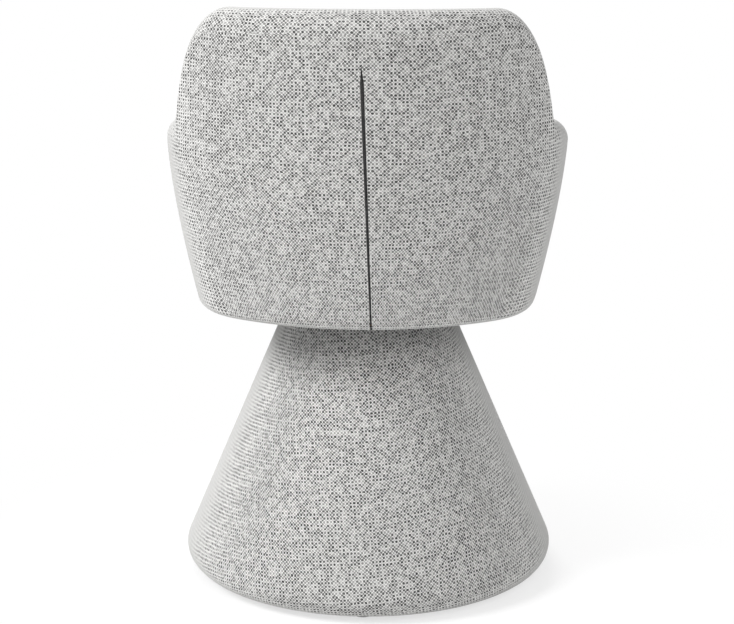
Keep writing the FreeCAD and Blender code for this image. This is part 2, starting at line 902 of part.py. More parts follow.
def outline_at(level, depth, share=1.0):
    right = [on_wall(station, level, depth) for station in STATIONS]
    points = right + mirrored(right[1:-1])[::-1]
    centre = V(0, -val("side_shift"), level)
    return [centre + (p - centre) * share for p in points]


def tier(*rings):
    """Solid through shell outlines given as (level, depth) or (level, depth, share)."""
    return flat_sided([outline_at(*ring) for ring in rings])


def layer_box(low, high):
    wide = 2 * val("half_width_high")
    return Part.makeBox(2 * wide, 2 * wide, high - low, V(-wide, -wide, low))


# Board over the swivel and the ring of the seat, let in between the shell's sides
frame_side = CORE_IN + val("frame_fit")
inside = tier((MOUNT_LOW, frame_side), (RING_HIGH, frame_side))
half_board = val("mount_board_width") / 2
wide = 2 * val("half_width_high")
thick = MOUNT_HIGH - MOUNT_LOW
band = Part.makeBox(2 * wide, 2 * half_board, thick, V(-wide, -half_board, MOUNT_LOW))
board = inside.common(band)
board = drill(board, val("mount_board_hole"), 0, 0, MOUNT_LOW, MOUNT_HIGH)
solid_piece("mount_board", drill_for_bolts(board, MOUNT_LOW, MOUNT_HIGH))
opening_depth = CORE_IN + val("seat_ring_width")
opening = tier((MOUNT_HIGH - 5, opening_depth), (RING_HIGH + 5, opening_depth))
solid_piece("seat_ring", inside.common(layer_box(MOUNT_HIGH, RING_HIGH)).cut(opening))

# Moulded shell, wadding outside it, foam inside and over it
solid_piece("shell_core", ring_of(upright_section(CORE_OUT, CORE_IN, SHELL_FOOT)))
solid_piece("shell_foam", ring_of(shell_foam_section))
padding = ring_of(upright_section(FOAM_OUT, CORE_OUT - GAP, SHELL_LOW + ROUND))

# Zip closing the rear of the cover, along a leaning line
TILT = math.tan(math.radians(val("zip_lean")))


def rear_point(level, depth):
    """Point of the leaning line on the flat nearest the middle of the back."""
    x = -val("zip_foot_shift") + (level - SHELL_LOW) * TILT
    middle = on_wall(STATIONS[0], level, depth)
    beside = on_wall(STATIONS[1], level, depth)
    return V(x, middle.y + (beside.y - middle.y) * abs(x) / beside.x, level)


ZIP_LOW = SHELL_LOW + ROUND / 2
ZIP_HIGH = val("back_top") - val("zip_drop")
zip_foot = rear_point(ZIP_LOW, 0)
zip_head = rear_point(ZIP_HIGH, 0)
ALONG = (zip_head - zip_foot).normalize()
flat_run = on_wall(STATIONS[1], ZIP_LOW, 0) - on_wall(STATIONS[0], ZIP_LOW, 0)
flat_run = V(flat_run.x, -flat_run.y, 0).normalize()
INWARD = flat_run.cross(ALONG).normalize()
if INWARD.y > 0:
    INWARD = INWARD * -1
ACROSS = ALONG.cross(INWARD).normalize()


def leaning_bar(half_width, outer, inner, start, stop):
    """Bar along the zip between two depths, lengths measured from the foot."""
    corner = zip_foot + ALONG * start + INWARD * outer - ACROSS * half_width
    far = corner + ACROSS * (2 * half_width)
    deep = INWARD * (inner - outer)
    base = Part.Face(polygon([corner, far, far + deep, corner + deep]))
    return base.extrude(ALONG * (stop - start))


def slit_form():
    """Lens-shaped cut: widest above the middle, pointed at both ends."""
    left = []
    right = []
    for share, width in ((-0.03, 0.35), (0.25, 0.85), (0.6, 1.0), (0.88, 0.65), (1.0, 0.1)):
        level = SHELL_LOW + (ZIP_HIGH - SHELL_LOW) * share
        x = -val("zip_foot_shift") + (level - SHELL_LOW) * TILT
        half_slit = val("slit_half_width") * width
        left.append(V(x - half_slit, 0, level))
        right.append(V(x + half_slit, 0, level))
    return Part.Face(polygon(left + right[::-1])).extrude(V(0, 2 * val("rear_high"), 0))


zip_run = (zip_head - zip_foot).Length
tape_out = val("tape_depth")
coil_in = tape_out - val("slider_gap")
coil_out = coil_in - val("coil_thickness")
coil_half = val("coil_half_width")
plate_in = coil_out - val("slider_gap")
slider_half = val("slider_half_width")
slider_end = val("slider_park") + val("slider_length")
tape_in = tape_out + val("tape_thickness")
solid_piece("zip_tape", leaning_bar(val("tape_width") / 2, tape_out, tape_in, 0.5, zip_run + 6))
solid_piece("zip_coil", leaning_bar(coil_half, coil_out, coil_in, 1, zip_run + 2))
slider = leaning_bar(
    slider_half, plate_in - val("slider_plate"), coil_in - val("slider_gap"),
    val("slider_park"), slider_end,
)
tunnel = leaning_bar(coil_half + val("slider_gap"), plate_in, coil_in + 5, 0, zip_run)
solid_piece("zip_slider", slider.cut(tunnel))
reach = val("zip_channel")
channel = leaning_bar(reach / 2, -reach, CORE_OUT - GAP + 2, -reach, zip_run + 10)
solid_piece("outer_padding", padding.cut(channel))
solid_piece("cover_outer", ring_of(outer_cover_section).cut(slit_form()))
solid_piece("cover_inner", ring_of(inner_cover_section))

# Elastic webbing woven over the ring
half_web = val("webbing_width") / 2
web = val("webbing_thickness")
wave = val("webbing_wave")
pitch = val("webbing_pitch")
web_level = RING_HIGH + web / 2
web_mid = -val("side_shift") - 8
REACH = val("webbing_reach")


def strap(stops, along, across, centre, ends, flip):
    """Webbing strap along one direction, over and under at the stops."""
    path = [(ends[0], 0), (ends[0] + REACH, 0)]
    for k, stop in enumerate(stops):
        lift = 2 * wave if (k + flip) % 2 else 0.0
        path += [(stop - half_web * 0.8, lift), (stop + half_web * 0.8, lift)]
    path += [(ends[1] - REACH, 0), (ends[1], 0)]
    upper = [along * run + V(0, 0, web_level + lift + web / 2) for run, lift in path]
    lower = [along * run + V(0, 0, web_level + lift - web / 2) for run, lift in path]
    face = Part.Face(polygon(upper + lower[::-1]))
    face.translate(across * (centre - half_web))
    return face.extrude(across * (2 * half_web)).common(web_limit)


rows = [web_mid - pitch, web_mid, web_mid + pitch]
columns = [-pitch, 0.0, pitch]
web_limit = tier((RING_HIGH - 5, THICK + 1), (RING_HIGH + 5, THICK + 1))
side_reach = on_wall((2, 0.5), RING_HIGH, THICK).x
rear_reach = on_wall(FIRST, RING_HIGH, THICK).y
fore_reach = on_wall(LAST, RING_HIGH, THICK).y
straps = []
for k, row in enumerate(rows):
    ends = (-side_reach, side_reach)
    straps.append(strap(columns, V(1, 0, 0), V(0, 1, 0), row, ends, k))
for k, column in enumerate(columns):
    ends = (fore_reach, rear_reach)
    straps.append(strap(rows, V(0, 1, 0), V(1, 0, 0), column, ends, k + 1))
solid_piece("webbing_straps", Part.makeCompound(straps))

# Seat cushion: drawn-in sides, rounded edge and a low crown
CUSHION_LOW = RING_HIGH + web + 2 * wave + GAP
CUSHION_TOP = val("cushion_top")
CUSHION_EDGE = CUSHION_TOP - val("cushion_crown")
CUSHION_SIDE = THICK + val("cushion_clearance")


def cushion(inset):
    body_high = CUSHION_EDGE - CUSHION_LOW
    rings = (
        (CUSHION_LOW + inset, CUSHION_SIDE + 5 + inset),
        (CUSHION_LOW + body_high * 0.5, CUSHION_SIDE + inset),
        (CUSHION_EDGE - inset * 0.5, CUSHION_SIDE + 4 + inset),
        (CUSHION_EDGE + val("cushion_crown") * 0.4 - inset, CUSHION_SIDE + 13 + inset),
        (CUSHION_EDGE + val("cushion_crown") * 0.72 - inset, CUSHION_SIDE + 30),
        (CUSHION_TOP - inset, CUSHION_SIDE + 30, 0.45),
    )
    return tier(*rings)


solid_piece("seat_cover", cushion(0).cut(cushion(COVER)))
solid_piece("seat_foam", cushion(COVER + GAP))

# Dust cover under the seat
sheet_form = tier((SHELL_LOW - dust, LIP - 6), (SHELL_LOW, LIP - 6))
hole_radius = val("seat_dust_cover_hole")
hole_form = faceted([(hole_radius, SHELL_LOW - 20), (hole_radius, SHELL_LOW + 20)])
solid_piece("seat_dust_cover", sheet_form.cut(hole_form))

# Every piece is sound before its file is written
doc.recompute()
for item in doc.Objects:
    if "Invalid" in item.State or "Error" in item.State:
        raise RuntimeError("%s is %s" % (item.Name, item.State))
os.makedirs("parts", exist_ok=True)
for node in nodes:
    if node.Shape.isNull() or not node.Shape.isValid() or not node.Shape.Solids:
        raise RuntimeError("%s has no sound solid" % node.Label)
for node in nodes:
    node.Shape.exportStep("parts/%s.step" % node.Label)
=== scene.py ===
import bisect
import math

import bmesh
import bpy
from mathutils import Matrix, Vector
from mathutils.bvhtree import BVHTree


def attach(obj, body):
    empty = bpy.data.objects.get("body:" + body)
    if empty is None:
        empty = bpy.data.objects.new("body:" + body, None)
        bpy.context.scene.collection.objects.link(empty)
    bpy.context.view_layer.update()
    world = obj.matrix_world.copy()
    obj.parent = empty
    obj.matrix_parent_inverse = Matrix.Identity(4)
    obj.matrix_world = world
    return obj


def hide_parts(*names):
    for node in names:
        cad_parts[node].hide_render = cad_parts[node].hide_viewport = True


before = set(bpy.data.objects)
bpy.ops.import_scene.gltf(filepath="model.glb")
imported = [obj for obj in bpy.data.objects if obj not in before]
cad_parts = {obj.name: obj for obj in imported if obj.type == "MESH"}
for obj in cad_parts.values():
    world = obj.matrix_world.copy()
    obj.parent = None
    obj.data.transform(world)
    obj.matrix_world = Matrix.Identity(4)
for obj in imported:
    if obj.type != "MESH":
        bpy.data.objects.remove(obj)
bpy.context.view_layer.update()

# Swivel tub chair: an upholstered shell on an upholstered conical pedestal.
# Lengths are in millimetres, except in the camera, the lamps and the node materials, which use metres.
MM = 0.001

# Shell outline, the same sizes as the solids
SHELL_LOW, BACK_TOP, WIDE_LEVEL = 400.0, 820.0, 620.0
ARM_ROOT, ARM_FRONT, RAIL = 660.0, 612.0, 474.0
BACK_FOOT_AT, BACK_HEAD_AT, ARM_FRONT_AT, ARM_FOOT_AT = 150.0, 235.0, 118.0, 240.0
HALF_WIDTH_LOW, HALF_WIDTH_HIGH = 232.0, 271.0
REAR_LOW, REAR_HIGH, FRONT_LOW, FRONT_HIGH = 222.0, 290.0, 278.0, 300.0
BACK_CURVE, REAR_CORNER, SIDE_CURVE, FRONT_CORNER, FRONT_CURVE = 330.0, 105.0, 800.0, 110.0, 620.0
SIDE_SHIFT = 20.0
SWELL_POWER, FRONT_SHARE_LIMIT = 1.4, 1.2
THICK = 57.0
MIDDLE = THICK / 2
RING_HIGH = 438.0
SEAM_SHARE = 0.86

# Cover of the shell: its turned foot, and the seam on the inside as (rise, depth under the face)
LIP_DEPTH, LIP_OVERLAP, FLAT_FOOT_DEPTH = 22.0, 4.0, 18.0
FOOT_ROUND = 13.0
SEAM_FROM_ABOVE = ((0.6, 0.3), (0.1, 1.2), (0.0, 3.0))
SEAM_FROM_BELOW = ((0.0, 3.0), (-0.1, 1.2), (-0.8, 0.2))
FOLD_UNDER_CUSHION = (3.0, 9.0, 18.0)
# The padded foot hangs a little under the frame, and the crest settles, more at its corners
FOOT_DROP = 4.5
CREST_SETTLE, CORNER_SETTLE, CORNER_AT = 2.5, 5.0, 190.0

# Stations round the shell, and rows of its profile
REFERENCE_LEVEL, STATION_STEP, LEAST_STEPS = 560.0, 5.0, 4
BESIDE_SLIT = (0.7, 1.6, 3.0)
FOOT_ROWS, WALL_ROWS, ROLL_ROWS, FACE_ROWS, INSIDE_ROWS = 6, 64, 24, 5, 30
ROLL_FROM = 2 + FOOT_ROWS + WALL_ROWS
ROLL_TO = ROLL_FROM + ROLL_ROWS
WELD = 0.02

# Slit in the back with its zip
ZIP_TOP, ZIP_LEAN, ZIP_FOOT_SHIFT = 742.0, 1.65, 11.0
ZIP_FOOT = SHELL_LOW + 4.5
SLIT_HALF_WIDTH, SLIT_FOOT_SHARE, SLIT_WIDENING, SLIT_CLOSING = 2.6, 0.55, 0.5, 14
SLIT_TOP = 752.0
SLIT_REACH = 90.0
LIP_FADE, LIP_ROWS, LIP_OPENING = 60.0, 70, 4
LIP_FOLD = ((0.0, 0.0), (-0.25, 0.5), (-0.1, 1.4), (0.6, 2.6), (2.2, 4.2))
TAPE_DEPTH, TAPE_HALF_WIDTH, TAPE_OVERLAP, TAPE_THICKNESS = 4.8, 13.0, 4.0, 0.6
TAPE_COLUMNS, TAPE_ROWS = 14, 80
# Loop of the coil: its ends and flanks beside the slit's middle, its tooth past it
COIL_PITCH, COIL_CLEAR, FILAMENT_RADIUS, LOOP_STEPS = 1.45, 1.0, 0.34, 6
LOOP_END, LOOP_NEAR, LOOP_WIDTH, TOOTH = 1.6, 0.15, 1.35, 0.35
LOOP_LIFT, LOOP_HEIGHT, LOOP_SPREAD = 0.55, 0.75, 0.35

# Pedestal
BASE_RADIUS, BASE_EDGE, BASE_HEAD = 257.0, 24.0, 107.0
COVER_LOW, BASE_TOP, BASE_SHOULDER = 7.3, 390.0, 5.0
BOARD_TOP = 388.0
BASE_LIP, BASE_LIP_WIDTH, TOP_LIP, TOP_STEP = 184.0, 20.0, 92.0, 4.0
EDGE_ROWS, CONE_ROWS, SHOULDER_ROWS, BASE_STATIONS = 22, 70, 8, 150
FRONT_SEAM_DEPTH, FRONT_SEAM_WIDTH = 1.4, 1.3
BESIDE_SEAM = (0.4, 0.9, 1.6, 2.6)
SEAM_RADIUS = 180.0

# Weave
THREAD = 4.7
YARN_LOW, YARN_HIGH = 0.84, 1.0
WANDER, SLUB = 0.14, 0.05
PICK_THREADS = 3.0
BASE_TILT = -5.5
# Where the weave's lengthwise coordinate starts: inside the shell, and on the slit's lips
WEAVE_ABOVE, LIP_WEAVE_START = 2000.0, 20.0

# Cushion, with its rings before it swells: level, depth behind the side, share of the full ring
CUSHION_LOW, CUSHION_EDGE, CUSHION_TOP = 441.1, 478.0, 494.0
CUSHION_FLOOR, CUSHION_CEILING = CUSHION_LOW + 0.4, CUSHION_TOP + 3.0
CUSHION_SIDE, CUSHION_CLEAR = 60.0, 1.5
CUSHION_RINGS = (
    (CUSHION_LOW + 1.5, 12, 1.0),
    (CUSHION_LOW + 5.0, 6, 1.0),
    (CUSHION_LOW + 20.0, 3, 1.0),
    (CUSHION_EDGE - 6.0, 4, 1.0),
    (CUSHION_EDGE - 1.0, 9, 1.0),
    (CUSHION_EDGE + 2.5, 24, 1.0),
    (CUSHION_EDGE + 6.0, 55, 1.0),
    (CUSHION_TOP - 8.0, 60, 0.5),
    (CUSHION_TOP - 7.5, 60, 0.1),
)
CUSHION_SWELL, SWELL_FRAMES, VOXEL = 6.0, 20, 5.0
FRONT_REACH = 44.0
WALL_LOW, WALL_HIGH, WALL_STEP = 440, 500, 4
PIPING_RADIUS, PIPING_SUNK, PIPING_DROP, PIPING_INWARD = 2.3, 1.2, 4.0, 40

# Camera at the photograph's angle, in metres and degrees
CAMERA_SWING, CAMERA_PITCH, CAMERA_DISTANCE, CAMERA_HEIGHT = 2.0, 15.25, 3.0, 1.18
CAMERA_LENS, CAMERA_SENSOR, CAMERA_SHIFT = 109.7, 36.0, -0.002

# Studio: name, place, height aimed at, size (metres) and watts of each lamp
LAMPS = (
    ("key", (2.9, 1.5, 3.0), 0.45, (1.6, 1.6), 160),
    ("fill", (-1.3, 2.9, 2.4), 0.45, (2.0, 1.6), 58),
    ("front", (0.6, -2.8, 2.4), 0.5, (2.0, 1.6), 84),
)
WORLD_LIGHT = 0.40
FLOOR_HALF = 12
WHITE = (1, 1, 1, 1)


def limited(value, low, high):
    return min(max(value, low), high)


def blend(start, stop, x):
    """Smooth step from 0 at start to 1 at stop."""
    t = limited((x - start) / (stop - start), 0.0, 1.0)
    return t * t * (3 - 2 * t)


def plan(level):
    """Half width, rear and front of the shell outline at a level."""
    share = (level - SHELL_LOW) / (WIDE_LEVEL - SHELL_LOW)
    swell = 1 - (1 - min(share, 1)) ** SWELL_POWER
    width = HALF_WIDTH_LOW + (HALF_WIDTH_HIGH - HALF_WIDTH_LOW) * swell
    rise = (level - SHELL_LOW) / (BACK_TOP - SHELL_LOW)
    rear = REAR_LOW + (REAR_HIGH - REAR_LOW) * rise
    front = FRONT_LOW + (FRONT_HIGH - FRONT_LOW) * min(share, FRONT_SHARE_LIMIT)
    return width, rear, -front


def between(big, big_radius, small, small_radius, rearward):
    """Centre of a circle at given distances from two centres, on the +x side."""
    dx, dy = small[0] - big[0], small[1] - big[1]
    span = math.hypot(dx, dy)
    along = (big_radius ** 2 - small_radius ** 2 + span ** 2) / (2 * span)
    off = math.sqrt(max(big_radius ** 2 - along ** 2, 0))
    mx, my = big[0] + along * dx / span, big[1] + along * dy / span
    one = (mx + off * dy / span, my - off * dx / span)
    two = (mx - off * dy / span, my + off * dx / span)
    return max(one, two, key=lambda point: point[0] + point[1] * rearward)


def heading(start, end):
    return math.atan2(end[1] - start[1], end[0] - start[0])


def half_outline(level):
    """Arcs (centre, radius, start, stop) from mid back to mid front, on the +x side."""
    width, rear, front = plan(level)
    back = (0.0, rear - BACK_CURVE)
    flank = (width - SIDE_CURVE, -SIDE_SHIFT)
    fore = (0.0, front + FRONT_CURVE)
    rear_corner = between(back, BACK_CURVE - REAR_CORNER, flank, SIDE_CURVE - REAR_CORNER, 1)
    front_corner = between(fore, FRONT_CURVE - FRONT_CORNER, flank, SIDE_CURVE - FRONT_CORNER, -1)
    back_end, flank_start = heading(back, rear_corner), heading(flank, rear_corner)
    flank_end, fore_start = heading(flank, front_corner), heading(fore, front_corner)
    return (
        (back, BACK_CURVE, math.pi / 2, back_end),
        (rear_corner, REAR_CORNER, back_end, flank_start),
        (flank, SIDE_CURVE, flank_start, flank_end),
        (front_corner, FRONT_CORNER, flank_end, fore_start),
        (fore, FRONT_CURVE, fore_start, -math.pi / 2),
    )


def on_wall(station, level, depth):
    """Point of the shell at a station (arc, share of it), a depth under its outside."""
    arc, share = station
    centre, radius, start, stop = half_outline(level)[arc]
    angle = start + (stop - start) * share
    x = centre[0] + (radius - depth) * math.cos(angle)
    y = centre[1] + (radius - depth) * math.sin(angle)
    return (x, y, level)


def on_back(x, level, depth):
    """Point of the back's own curve at x."""
    centre, radius = half_outline(level)[0][:2]
    return (x, centre[1] + math.sqrt((radius - depth) ** 2 - x ** 2), level)


def back_share(y):
    """0 where the back starts to rise from the arms, 1 where it has its full height."""
    return limited((y - BACK_FOOT_AT) / (BACK_HEAD_AT - BACK_FOOT_AT), 0.0, 1.0)


def crest_at(y):
    """Height of the shell's top line where its outer face is at y."""
    arm = ARM_FRONT + (ARM_ROOT - ARM_FRONT) * blend(-ARM_FRONT_AT, BACK_FOOT_AT, y)
    back = (BACK_TOP - arm) * math.sin(math.pi / 2 * back_share(y))
    return RAIL + (arm + back - RAIL) * blend(-ARM_FOOT_AT, -ARM_FRONT_AT, y)


def crest(station):
    """Height of the settled crest at a station, approached by halves."""
    level = WIDE_LEVEL
    for _ in range(40):
        x, y = on_wall(station, level, 0)[:2]
        settled_by = back_share(y) * (CREST_SETTLE + CORNER_SETTLE * (x / CORNER_AT) ** 2)
        level = 0.5 * level + 0.5 * (crest_at(y) - settled_by)
    return level


# Meshes
def add_object(name, data, material=None):
    """Puts mesh, curve, lamp or camera data into the scene."""
    if material:
        data.materials.clear()
        data.materials.append(material)
    piece = bpy.data.objects.new(name, data)
    bpy.context.scene.collection.objects.link(piece)
    return piece


def mesh_data(name, mesh):
    """Mesh data of a bmesh, which is freed."""
    data = bpy.data.meshes.new(name)
    mesh.to_mesh(data)
    mesh.free()
    return data


def add_grid(mesh, rows, uvs, edge=None):
    """Quads through rows of points, with the weave's coordinates.

    edge is (first, last, coordinates): the weave of the columns from first to last."""
    layer = mesh.loops.layers.uv.get("weave") or mesh.loops.layers.uv.new("weave")
    grid = [[mesh.verts.new(Vector(point) * MM) for point in row] for row in rows]
    for i in range(len(rows) - 1):
        for k in range(len(rows[i]) - 1):
            corners = ((i, k), (i + 1, k), (i + 1, k + 1), (i, k + 1))
            face = mesh.faces.new([grid[a][b] for a, b in corners])
            face.smooth = True
            chosen = edge[2] if edge and edge[0] <= k < edge[1] else uvs
            for loop, (a, b) in zip(face.loops, corners):
                loop[layer].uv = (chosen[a][b][0] * MM, chosen[a][b][1] * MM)


def grid_piece(name, rows, uvs, material):
    mesh = bmesh.new()
    add_grid(mesh, rows, uvs)
    return add_object(name, mesh_data(name, mesh), material)


def settled(piece):
    """The piece's mesh with its modifiers worked in, and the modifiers taken off."""
    view = bpy.context.evaluated_depsgraph_get()
    view.update()
    data = bpy.data.meshes.new_from_object(piece.evaluated_get(view))
    piece.modifiers.clear()
    piece.data = data
    return data


# Node materials
class Graph:
    """Nodes of a material or of the world, written as sums."""

    def __init__(self, owner, output="ShaderNodeOutputMaterial"):
        owner.use_nodes = True
        self.owner = owner
        self.tree = owner.node_tree
        self.tree.nodes.clear()
        self.out = self.tree.nodes.new(output)

    def fill(self, socket, value):
        if isinstance(value, bpy.types.NodeSocket):
            self.tree.links.new(value, socket)
        else:
            socket.default_value = value

    def add(self, kind, links=None, **settings):
        node = self.tree.nodes.new(kind)
        for key, value in settings.items():
            setattr(node, key, value)
        for key, value in (links or {}).items():
            self.fill(node.inputs[key], value)
        return node

    def maths(self, operation, *values):
        links = dict(enumerate(values))
        return self.add("ShaderNodeMath", links, operation=operation).outputs[0]

    def times(self, one, two):
        return self.maths("MULTIPLY", one, two)

    def plus(self, one, two):
        return self.maths("ADD", one, two)

    def less(self, one, two):
        return self.maths("SUBTRACT", one, two)

    def ramp(self, value, low, high, to_low=0.0, to_high=1.0, **settings):
        links = {"Value": value, "From Min": low, "From Max": high, "To Min": to_low, "To Max": to_high}
        return self.add("ShaderNodeMapRange", links, **settings).outputs[0]

    def smooth(self, value, low, high, to_low=0.0, to_high=1.0):
        return self.ramp(value, low, high, to_low, to_high, interpolation_type="SMOOTHSTEP")

    def join(self, x, y, z=0.0):
        return self.add("ShaderNodeCombineXYZ", {0: x, 1: y, 2: z}).outputs[0]

    def parts(self, vector):
        return self.add("ShaderNodeSeparateXYZ", {0: vector}).outputs

    def weave(self):
        """The weave's coordinates, in metres."""
        return self.add("ShaderNodeUVMap", uv_map="weave").outputs[0]

    def where(self):
        """The object's own coordinates, in metres."""
        return self.add("ShaderNodeTexCoord").outputs["Object"]

    def noise(self, vector, scale=1.0, detail=2.0, roughness=0.5):
        links = {"Vector": vector, "Scale": scale, "Detail": detail, "Roughness": roughness}
        return self.add("ShaderNodeTexNoise", links).outputs[0]

    def waver(self, vector, amount, scale, detail=0.0, roughness=0.5):
        """Noise that swings by an amount to either side of 0."""
        return self.ramp(self.noise(vector, scale, detail, roughness), 0.3, 0.7, -amount, amount)

    def wave(self, value, period):
        return self.maths("SINE", self.times(value, 2 * math.pi / period))

    def chance(self, x, y, z):
        return self.add("ShaderNodeTexWhiteNoise", {"Vector": self.join(x, y, z)}).outputs[0]

    def mix(self, share, one, two):
        node = self.add("ShaderNodeMix", data_type="RGBA")
        for index, value in ((0, share), (6, one), (7, two)):
            self.fill(node.inputs[index], value)
        return node.outputs[2]

    def surface(self, shader):
        self.tree.links.new(shader.outputs[0], self.out.inputs["Surface"])
        return self.owner

    def finish(self, colour, roughness, height, strength, distance, **extra):
        """Principled surface with a bump; extra names sockets with _ for each space."""
        bump = self.add("ShaderNodeBump", {"Height": height, "Strength": strength, "Distance": distance})
        links = {"Base Color": colour, "Roughness": roughness, "Normal": bump.outputs[0]}
        for key, value in extra.items():
            links[key.replace("_", " ")] = value
        return self.surface(self.add("ShaderNodeBsdfPrincipled", links))


def material_graph(name):
    return Graph(bpy.data.materials.new(name))


def grey(value):
    return (value, value, value, 1.0)


def off_middle(g, count):
    """0 on a thread's middle line and 1 at its edges, from a count of threads."""
    return g.maths("ABSOLUTE", g.less(g.times(g.maths("FRACT", count), 2.0), 1.0))


def pick_run(g, along, across, stagger):
    """Number of the run of threads that a place along a thread lies in."""
    return g.maths("FLOOR", g.maths("DIVIDE", g.plus(along, g.times(across, stagger)), PICK_THREADS))


class Weave:
    """Places in a plain weave whose threads wander and swell a little.

    u and v count threads, col and row number them, and over is 1 where the warp lies on top."""

    def __init__(self, g):
        uv = g.weave()
        place = g.parts(uv)
        moved = g.add("ShaderNodeVectorMath", {0: uv, 1: (0.37, 0.53, 0.0)}, operation="ADD").outputs[0]
        drift = g.plus(g.waver(uv, WANDER, 60.0, 2.0), g.waver(uv, SLUB, 190.0))
        sway = g.plus(g.waver(uv, WANDER, 45.0, 2.0, 0.7), g.waver(moved, SLUB, 190.0))
        self.u = g.plus(g.maths("DIVIDE", place[0], THREAD * MM), drift)
        self.v = g.plus(g.maths("DIVIDE", place[1], THREAD * MM), sway)
        self.col, self.row = g.maths("FLOOR", self.u), g.maths("FLOOR", self.v)
        self.off_warp, self.off_weft = off_middle(g, self.u), off_middle(g, self.v)
        self.over = g.maths("FLOORED_MODULO", g.plus(self.col, self.row), 2.0)
        self.under = g.less(1.0, self.over)


def yarn_height(g, w):
    """Round across each float, and dipping towards its ends."""
    across = g.plus(g.times(w.off_warp, w.over), g.times(w.off_weft, w.under))
    along = g.plus(g.times(w.off_weft, w.over), g.times(w.off_warp, w.under))
    round_yarn = g.less(1.0, g.maths("POWER", across, 2.6))
    dive = g.less(1.0, g.times(g.maths("POWER", along, 2.2), 0.6))
    return g.times(round_yarn, dive)


def painted_gap_shade(g, w):
    """A dot of painted shade where four floats meet, each of its own depth, deeper where the weave is
    loose.
    """
    warp_run = g.noise(g.join(g.times(w.col, 2.3), g.times(w.v, 0.09), 4.0), 1.0, 1.0)
    weft_run = g.noise(g.join(g.times(w.u, 0.09), g.times(w.row, 2.3), 9.0), 1.0, 1.0)
    loose = g.smooth(g.maths("MAXIMUM", warp_run, weft_run), 0.42, 0.68, 0.90, 1.0)
    open_by = g.chance(g.maths("ROUND", w.u), g.maths("ROUND", w.v), 3.0)
    meet = g.smooth(g.times(w.off_warp, w.off_weft), 0.09, 0.34)
    return g.times(g.times(meet, g.smooth(open_by, 0.0, 0.8, 0.66, 1.0)), loose)


def painted_crease_shade(g, w, facing):
    """Painted shade along a crease in the middle of each float, between its two plies."""
    middle = g.smooth(g.times(g.less(1.0, w.off_warp), g.less(1.0, w.off_weft)), 0.16, 0.46)
    depth = g.times(middle, g.smooth(g.chance(w.col, w.row, 23.0), 0.0, 1.0, 0.62, 1.0))
    return g.times(depth, g.smooth(facing, 0.25, 0.60, 0.9, 0.45))


def dark_picks(g, w):
    """Dark yarn that runs for three threads along the warp or the weft."""
    weft_pick = g.smooth(g.chance(pick_run(g, w.u, w.row, 1.7), w.row, 11.0), 0.962, 0.98)
    warp_pick = g.smooth(g.chance(w.col, pick_run(g, w.v, w.col, 1.3), 17.0), 0.965, 0.982)
    weft_dark = g.times(weft_pick, g.smooth(w.off_weft, 0.85, 0.20))
    warp_dark = g.times(warp_pick, g.smooth(w.off_warp, 0.85, 0.20))
    return g.plus(g.times(weft_dark, w.under), g.times(warp_dark, w.over))


def tweed(name):
    """Plain weave of light slubby yarn, painted shade in the gaps and creases, and short dark picks.

    Seen along the surface, raised fibre hides the gaps and their tone blends into the yarn; there the yarn
    is also darkened as painted shade."""
    g = material_graph(name)
    w = Weave(g)
    facing = g.add("ShaderNodeLayerWeight", {"Blend": 0.5}).outputs["Facing"]
    clear = g.smooth(facing, 0.52, 0.82, 1.0, 0.12)
    height = yarn_height(g, w)
    # Yarn: light, with painted shade towards its edges and ends, where it lies low, and at grazing angles
    fibre = g.noise(g.join(g.times(w.u, 3.2), g.times(w.v, 3.2)), 2.4, 3.0, 0.65)
    shade = g.times(g.chance(w.col, w.row, 5.0), 0.12)
    light = g.ramp(g.plus(shade, fibre), 0.3, 0.95, YARN_LOW, YARN_HIGH)
    painted_edge_shade = g.times(clear, g.smooth(height, 0.0, 0.85, 0.28, 0.0))
    light = g.times(light, g.less(1.0, painted_edge_shade))
    # Painted shade: the yarn darkens to about half where the surface is seen at a grazing angle
    light = g.times(light, g.smooth(facing, 0.44, 0.82, 1.0, 0.53))
    tints = {0: light, 1: g.times(light, 0.995), 2: g.times(light, 0.975)}
    yarn = g.add("ShaderNodeCombineColor", tints).outputs[0]
    # Painted shade in the gaps and creases, and dark picks, over it
    dark = g.maths("MAXIMUM", g.times(painted_gap_shade(g, w), 0.97), g.times(dark_picks(g, w), 0.55))
    dark = g.times(g.maths("MAXIMUM", dark, painted_crease_shade(g, w, facing)), clear)
    relief = g.plus(g.times(height, clear), g.times(fibre, 0.3))
    return g.finish(g.mix(dark, yarn, grey(0.02)), 0.95, relief, 0.5, 0.001,
                    Sheen_Weight=0.15, Sheen_Roughness=0.4, Specular_IOR_Level=0.15)


def zip_tape_material(name):
    g = material_graph(name)
    place = g.parts(g.weave())
    height = g.times(g.wave(place[1], 0.0007), g.wave(place[0], 0.0009))
    # Painted shade: the tape is darker in the dips of its weave and lighter on its raised threads
    light = g.ramp(height, -1.0, 1.0, 0.05, 0.12)
    colour = g.add("ShaderNodeCombineColor", {0: light, 1: light, 2: light}).outputs[0]
    return g.finish(colour, 0.85, height, 0.5, 0.0002)


def plain_finish(name, low, high, roughness, scale, metallic=0.0, bump=0.15):
    """Colour between two greys over noise of the object's own space."""
    g = material_graph(name)
    where = g.where()
    grain = g.noise(where, scale, 4.0, 0.6)
    fine = g.noise(where, scale * 7, 2.0, 0.6)
    share = g.smooth(g.plus(g.times(grain, 0.7), g.times(fine, 0.3)), 0.35, 0.65)
    rough = g.ramp(fine, 0.3, 0.7, roughness - 0.08, roughness + 0.08)
    height = g.plus(grain, g.times(fine, 0.4))
    return g.finish(g.mix(share, low, high), rough, height, bump, 0.0006, Metallic=metallic)


